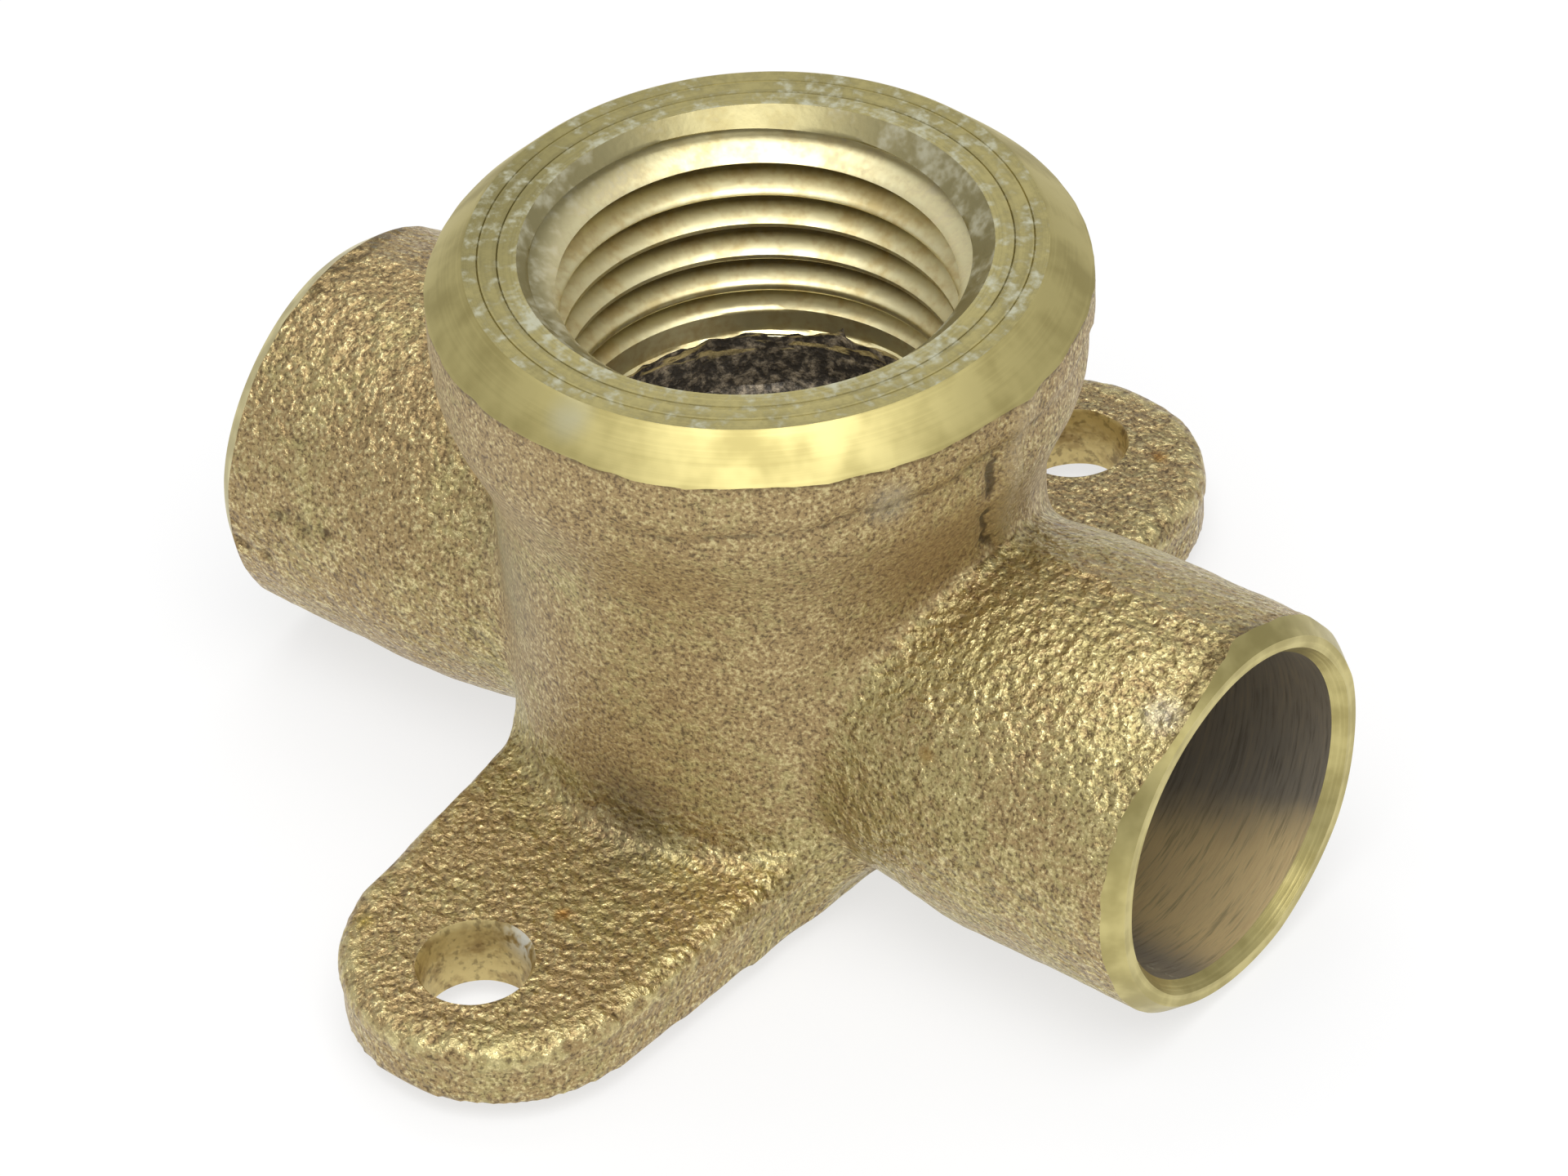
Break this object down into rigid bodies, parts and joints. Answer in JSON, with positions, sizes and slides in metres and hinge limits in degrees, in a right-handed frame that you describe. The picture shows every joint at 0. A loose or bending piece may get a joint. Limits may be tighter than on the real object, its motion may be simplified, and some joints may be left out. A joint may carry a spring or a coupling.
{
  "type": "drop-ear pipe tee",
  "caption": "Cast drop-ear pipe tee with in-line solder cups, a taper-threaded outlet square to them with a flared collar, and flat drilled ears that screw it to a board.",
  "frame": {"origin": "under the crossing of the run's axis and the outlet's axis, at the height of the cups' lowest line", "axes": "+X along the run, +Y along the ears, +Z out of the threaded outlet"},
  "size_m": [0.0532, 0.0572, 0.031],
  "materials": {
    "cast_brass": "grainy brown-gold sand-cast skin; bright turned brass on the outlet's face and chamfer, the thread and the cup rims"
  },
  "bodies": {
    "root": {"tee_body": "cast_brass"}
  },
  "joints": []
}
